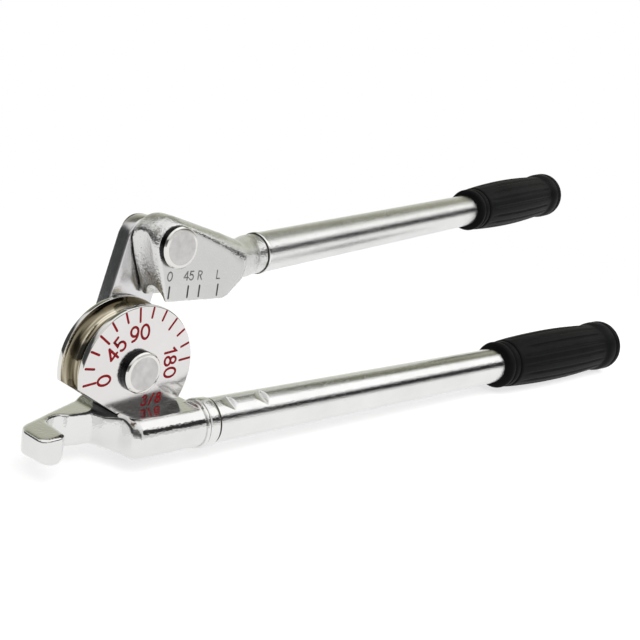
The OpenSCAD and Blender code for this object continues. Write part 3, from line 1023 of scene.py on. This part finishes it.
def make_link():
    """A flat bar with round ends and rounded edges, bored for its two bushes."""
    far = LINK_LEN - LINK_TRIM
    steps = 48
    outline = []
    for cx, from_deg in ((far, -90), (0, 90)):
        for k in range(steps + 1):
            outline.append((cx, *polar(LINK_HALF, from_deg + 180 * k / steps)))
    z1 = LINK_FRONT
    z0 = LINK_FRONT - LINK_T
    quarter = [polar(LINK_EDGE, 90 * k / 5) for k in range(6)]
    rings = [(LINK_EDGE - up, z0 + LINK_EDGE - out) for out, up in quarter]
    rings += [(LINK_EDGE - up, z1 - LINK_EDGE + out) for out, up in reversed(quarter)]
    count = len(outline)
    verts, faces = [], []
    for inset, z in rings:
        k = (LINK_HALF - inset) / LINK_HALF
        verts += [(cx + dx * k, dy * k, z) for cx, dx, dy in outline]
    for r in range(len(rings) - 1):
        for i in range(count):
            j = (i + 1) % count
            faces.append((r * count + i, r * count + j, (r + 1) * count + j, (r + 1) * count + i))
    faces.append(tuple(range(count - 1, -1, -1)))
    last = (len(rings) - 1) * count
    faces.append(tuple(range(last, last + count)))
    m = spin("Z", LINK_ANGLE)
    obj = make_object("link_plate", verts, faces, m)
    bore = BUSH_R + FIT
    holes = []
    for x in (0, LINK_LEN):
        v, f = lathe([(0, z0 - 1), (bore, z0 - 1), (bore, z1 + 1), (0, z1 + 1)], segments=96)
        hole = make_object("hole", v, f, m @ Matrix.Translation((x, 0, 0)))
        weld(hole)
        holes.append(hole)
    cut(obj, holes)
    smooth_all(obj, 32)
    wear(obj, "link_steel")
    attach(obj, "link")
    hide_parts("link_bar")


def tube_radius(s, a, stake_deg):
    """The tube's outside: rolled in at its ends and punched flat at its stakes."""
    r = HANDLE_R
    end = min(s, HANDLE_LEN - s)
    if end < ROLLED:
        r -= ROLLED_IN * (1 - math.sqrt(max(0.0, 1 - (1 - end / ROLLED) ** 2)))
    off = (a - math.radians(stake_deg) + math.pi) % (2 * math.pi) - math.pi
    if abs(off) >= math.radians(STAKE_REACH):
        return r
    for at, depth in STAKES:
        # a slanting punch: long on the side to the root, steep on the other
        u = s - at
        if -STAKE_LEAD < u <= 0:
            sunk = depth * (1 + u / STAKE_LEAD) ** 1.4
        elif 0 < u < STAKE_WALL:
            sunk = depth * (1 - u / STAKE_WALL)
        else:
            continue
        r = min(r, (HANDLE_R - sunk) / math.cos(off))
    return r


def make_tube(name, node, matrix, stake_deg, body, finish):
    """A drawn tube with two punched stakes, rolled a little at its open ends."""
    end = (0.0, 0.12, ROLLED)
    outside = [*end, 1.0, 2.5]
    outside += [4.0 + 0.25 * k for k in range(121)]
    outside += [40, 60, 100, 150, 200, 250]
    outside += [HANDLE_LEN - s for s in reversed(end)]
    inside = [HANDLE_LEN - 0.1, 40.0, 30.0, 8.0, 0.1]
    segments = 192
    angles = [2 * math.pi * k / segments for k in range(segments)]
    verts, faces = [], []
    for s in outside:
        for a in angles:
            r = tube_radius(s, a, stake_deg)
            verts.append((r * math.cos(a), r * math.sin(a), s))
    for s in inside:
        for a in angles:
            # the wall thins a little under a stake
            r = min(HANDLE_R - HANDLE_WALL, tube_radius(s, a, stake_deg) - HANDLE_WALL * 0.9)
            verts.append((r * math.cos(a), r * math.sin(a), s))
    total = len(outside) + len(inside)
    for i in range(total):
        j = (i + 1) % total
        for k in range(segments):
            m = (k + 1) % segments
            faces.append((i * segments + k, i * segments + m, j * segments + m, j * segments + k))
    obj = make_object(name, verts, faces, matrix, sharp=38)
    wear(obj, finish)
    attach(obj, body)
    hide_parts(node)


def make_ferrule(name, node, matrix, outline, dirt_and_shade, body, gap=0.0):
    """A rolled ring from its outline (r, s), with dark lines between pairs of s: dirt and painted shade
    at its joints.
    """
    v, f = closed_lathe(outline, from_deg=gap, to_deg=360 - gap)
    obj = make_object(name, v, f, matrix)
    weld(obj)
    finish_shading(obj, 40)
    wear(obj, "tube_chrome", "dirt_and_shade")
    local = (ROW @ matrix).inverted()

    def pick(p):
        s = (local @ p.center).z
        return int(any(lo < s < hi for lo, hi in dirt_and_shade))

    set_faces(obj, pick)
    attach(obj, body)
    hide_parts(node)


def lower_ring():
    """A bead against the body, a band, and the dark line beside it on the tube: dirt and painted shade
    at the joints.
    """
    inner = HANDLE_R + FIT
    points = [(inner, 0.0), (8.7, 0.0), (8.98, 0.3), (9.05, 0.7), (8.95, 1.1), (8.68, 1.3), (8.68, 1.5)]
    points += [(8.84, 1.75), (8.9, 2.3), (8.9, 4.6), (8.84, 5.1), (8.62, 5.5), (8.3, 5.6)]
    points += [(HANDLE_R + 0.06, 5.65), (HANDLE_R + 0.06, 6.5), (inner, 6.5)]
    return points


def upper_ring():
    """A thin ring with a dark line on the neck's side: dirt and painted shade at the joint."""
    inner = HANDLE_R + FIT
    points = [(inner, 0.0), (HANDLE_R + 0.08, 0.0), (HANDLE_R + 0.08, 0.5), (8.42, 0.55), (8.56, 0.8)]
    points += [(8.6, 1.4), (8.6, 1.9), (8.52, 2.25), (8.36, 2.4), (inner, 2.4)]
    return points


def grip_profile():
    """From the collar's lip to the middle of the closed end: (r, s)."""
    waist = COLLAR_R - 0.3
    collar = [(HANDLE_R + FIT, 0.0), (HANDLE_R + 1.1, 0.0)]
    collar += [(COLLAR_R - 0.9, 0.2), (COLLAR_R - 0.25, 0.8), (COLLAR_R, 1.7)]
    collar += [(COLLAR_R, 2.9), (COLLAR_R - 0.2, 3.3), (COLLAR_R - 0.5, 3.6), (COLLAR_R - 0.5, 4.1)]
    collar += [(COLLAR_R - 0.15, 4.5), (COLLAR_R, 4.9), (COLLAR_R, 6.9), (COLLAR_R - 0.15, 7.4)]
    collar += [(waist, 7.8), (waist, 8.1), (waist + 0.45, 8.35)]
    points = [(r, COLLAR_FROM + s) for r, s in collar]
    swell = SWELL_R - waist
    start, stop = COLLAR_FROM + 8.6, BAND_FROM - 0.6
    for k in range(57):
        t = k / 56
        lift = math.sin(math.radians(20 + 129.6 * t))
        if t < 0.08:
            lift *= 0.85 + 0.15 * (t / 0.08)
        points.append((waist + swell * lift, start + (stop - start) * t))
    points += [(BAND_R - 0.78, BAND_FROM + 0.5), (BAND_R - 0.42, BAND_FROM + 1.4)]
    points += [(BAND_R - 0.12, BAND_FROM + 2.7), (BAND_R - 0.02, BAND_FROM + 4.0)]
    points += [(BAND_R, BEAD_AT - 0.7), (BAND_R - 0.12, BEAD_AT - 0.3), (BAND_R - 0.42, BEAD_AT)]
    points += [(BAND_R - 0.42, BEAD_AT + 0.35), (BAND_R - 0.1, BEAD_AT + 0.65), (BAND_R, BEAD_AT + 1.0)]
    for k in range(9):
        x, z = polar(END_ROUND, 90 * k / 8)
        points.append((BAND_R - END_ROUND + x, GRIP_LEN - END_ROUND + z))
    points += [(6.0, GRIP_LEN), (0.0, GRIP_LEN)]
    return points


def make_grip(name, node, matrix, body):
    """A moulded grip with shallow flutes that fade out at both ends of its swell."""
    from_s, to_s = COLLAR_FROM + 10.5, BAND_FROM - 1.0

    def shape(r, s, a):
        if from_s < s < to_s and r > HANDLE_R + 1:
            ends = min(1.0, (s - from_s) / FLUTE_IN, (to_s - s) / FLUTE_OUT)
            groove = max(0.0, math.cos(FLUTES * a)) ** 2.2
            return r - FLUTE_DEPTH * groove * math.sin(ends * math.pi / 2)
        return r

    bore = HANDLE_R + FIT
    inner = [(0.0, GRIP_LEN - END_WALL), (bore, GRIP_LEN - END_WALL), (bore, COLLAR_FROM)]
    v, f = lathe(grip_profile() + inner, segments=FLUTES * 16, shape=shape)
    obj = make_object(name, v, f, matrix)
    weld(obj)
    finish_shading(obj, 42)
    wear(obj, "grip")
    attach(obj, body)
    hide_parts(node)


make_body()
make_shoe()
make_wheel()
make_pin("former_pin_turned", "former_pin", WHEEL_HALF, UNMOVED, "fixed_handle")
make_pin("shoe_pin_turned", "shoe_pin", SHOE_FRONT, at_shoe(), "moving_handle")
make_link()
make_tube(
    "lower_tube_drawn", "lower_tube", along_lower(LOWER_ROOT), LOWER_STAKE_DEG,
    "fixed_handle", "tube_chrome",
)
make_tube(
    "upper_tube_drawn", "upper_tube", along_upper(0), UPPER_STAKE_DEG,
    "moving_handle", "tube_satin",
)
make_ferrule(
    "lower_ferrule_ring", "lower_ferrule", along_lower(LOWER_ROOT + LOWER_RING_AT), lower_ring(),
    LOWER_DIRT_AND_SHADE, "fixed_handle", LOWER_RING_GAP,
)
make_ferrule(
    "upper_ferrule_ring", "upper_ferrule", along_upper(UPPER_RING_AT), upper_ring(),
    UPPER_DIRT_AND_SHADE, "moving_handle",
)
make_grip("lower_grip_moulded", "lower_grip", along_lower(LOWER_ROOT + GRIP_AT), "fixed_handle")
make_grip("upper_grip_moulded", "upper_grip", along_upper(GRIP_AT), "moving_handle")

for name, finish in (
    ("former_dowels", "bare_steel"),
    ("former_screw", "dark_steel"),
    ("former_thrust_washer", "bare_steel"),
    ("former_back_washer", "bare_steel"),
    ("former_ring", "dark_steel"),
    ("link_bushes", "bronze"),
    ("shoe_thrust_washer", "bare_steel"),
    ("shoe_back_washer", "bare_steel"),
    ("shoe_ring", "dark_steel"),
    ("lower_plug", "plug"),
    ("upper_plug", "plug"),
):
    wear(nodes[name], finish)


# The stage: a pale floor, soft light and the camera
def make_floor():
    """A white floor. The camera sees the share of it that keeps the shadow, and looks through
    the rest to the white behind, so that a handle below it stays in sight."""
    mesh = bpy.data.meshes.new("floor")
    h = FLOOR_HALF
    corners = [(-h, -h, FLOOR_Z), (h, -h, FLOOR_Z), (h, h, FLOOR_Z), (-h, h, FLOOR_Z)]
    mesh.from_pydata(corners, [], [(0, 1, 2, 3)])
    obj = bpy.data.objects.new("floor", mesh)
    scene.collection.objects.link(obj)

    s = Surface("pale_floor", Base_Color=(0.9, 0.9, 0.9, 1), Roughness=0.9, Specular_IOR_Level=0.0)
    offset = s.node("ShaderNodeVectorMath", operation="SUBTRACT")
    offset.inputs[1].default_value = SHADOW_AT
    s.link(s.object, offset.inputs[0])
    length = s.node("ShaderNodeVectorMath", operation="LENGTH")
    s.link(offset.outputs[0], length.inputs[0])
    through = s.remap(length.outputs["Value"], SHADOW_NEAR, SHADOW_FAR, SEEN_THROUGH, 1.0)
    clear = s.node("ShaderNodeBsdfTransparent")
    seen = s.mix_shaders(through, s.bsdf.outputs[0], clear.outputs[0])

    matt = s.node("ShaderNodeBsdfDiffuse")
    matt.inputs["Color"].default_value = (0.45, 0.45, 0.45, 1)
    white = s.node("ShaderNodeEmission")
    white.inputs["Color"].default_value = (1.0, 1.0, 1.0, 1)
    mirrored = s.mix_shaders(MIRRORED_WHITE, matt.outputs[0], white.outputs[0])

    path = s.node("ShaderNodeLightPath")
    out = next(n for n in s.tree.nodes if n.type == "OUTPUT_MATERIAL")
    s.link(s.mix_shaders(path.outputs["Is Camera Ray"], mirrored, seen), out.inputs["Surface"])
    mesh.materials.append(s.mat)


# The olive wall's tones from its foot to its top
WALL_TONES = (
    (0.0, (0.85, 0.85, 0.82)),
    (0.2, (0.71, 0.72, 0.64)),
    (0.36, (0.60, 0.61, 0.52)),
    (0.5, (0.45, 0.455, 0.37)),
    (0.68, (0.34, 0.34, 0.27)),
    (0.79, (0.15, 0.155, 0.11)),
    (1.0, (0.10, 0.104, 0.075)),
)


def make_world():
    """A soft studio for the metal to mirror: white overhead, an olive wall behind to the right,
    a light panel, and dark places where the room shows. The camera sees white."""
    world = bpy.data.worlds.new("studio")
    scene.world = world
    world.use_nodes = True
    world.node_tree.nodes.clear()
    t = Tree(world.node_tree)
    split = t.node("ShaderNodeSeparateXYZ")
    t.link(t.node("ShaderNodeTexCoord").outputs["Generated"], split.inputs[0])
    x, y, z = split.outputs
    up = t.math("MULTIPLY", t.math("ARCSINE", z), 180 / math.pi)
    turn = t.math("MULTIPLY", t.math("ARCTAN2", y, x), 180 / math.pi)
    # the height above the horizon, tilted as the dark gap runs down towards the right
    above = t.math("ADD", up, t.math("MULTIPLY", t.math("ADD", turn, 50.0), 0.32))

    wall = t.ramp(t.remap(up, 2, 48), WALL_TONES)
    room = t.mix(t.smooth(up, 2, 14), (0.3, 0.295, 0.28), (0.1, 0.1, 0.1))
    colour = t.mix(t.smooth(up, 25, 60), (0.7, 0.7, 0.69), (1.0, 1.0, 1.0))
    # each patch by azimuth, height and tone, laid over the ones before it
    for across, height, tone in (
        (t.window(turn, -6, 98, 4), t.window(up, 1, 50, 4), wall),
        (t.window(turn, -75, -8, 4), t.window(above, 29, 70, 3), (1.16, 1.16, 1.16)),
        (t.window(turn, -85, -9, 5), t.window(above, 7.5, 28, 2.5), (0.03, 0.03, 0.03)),
        (t.window(turn, 150, 190, 8), t.window(up, 34, 68, 4), (0.12, 0.108, 0.078)),
        (t.window(turn, 105, 190, 8), t.window(up, -12, 32, 5), (0.055, 0.058, 0.058)),
        (t.smooth(turn, -118, -106, 1.0, 0.0), t.window(up, -5, 28, 5), room),
    ):
        colour = t.mix(t.math("MULTIPLY", across, height), colour, tone)

    path = t.node("ShaderNodeLightPath")
    back = t.node("ShaderNodeBackground")
    t.link(t.mix(path.outputs["Is Camera Ray"], colour, (1.0, 1.0, 1.0)), back.inputs["Color"])
    back.inputs["Strength"].default_value = 1.0
    t.link(back.outputs[0], t.node("ShaderNodeOutputWorld").inputs["Surface"])


def make_lamp(name, at, size, power):
    data = bpy.data.lights.new(name, "AREA")
    data.shape = "SQUARE"
    data.size = size
    data.energy = power
    obj = bpy.data.objects.new(name, data)
    scene.collection.objects.link(obj)
    obj.location = at
    obj.rotation_mode = "QUATERNION"
    obj.rotation_quaternion = (Vector(LAMPS_AIM) - Vector(at)).to_track_quat("-Z", "Y")
    obj.visible_camera = False
    obj.visible_glossy = False


def make_camera():
    """The photograph's own view, solved from the dial, pins and handles."""
    data = bpy.data.cameras.new("camera")
    data.lens = CAMERA_LENS
    data.sensor_width = 36.0
    data.clip_start, data.clip_end = 0.01, 20.0
    obj = bpy.data.objects.new("camera", data)
    scene.collection.objects.link(obj)
    axes = (Vector(CAMERA_RIGHT), -Vector(CAMERA_DOWN), -Vector(CAMERA_AHEAD))
    m = Matrix(axes).transposed().to_4x4()
    m.translation = Vector(CAMERA_AT)
    obj.matrix_world = m
    scene.camera = obj


make_floor()
make_world()
make_lamp("key", KEY_AT, KEY_SIZE, KEY_POWER)
make_lamp("fill", FILL_AT, FILL_SIZE, FILL_POWER)
make_camera()
scene.view_settings.view_transform = "Standard"
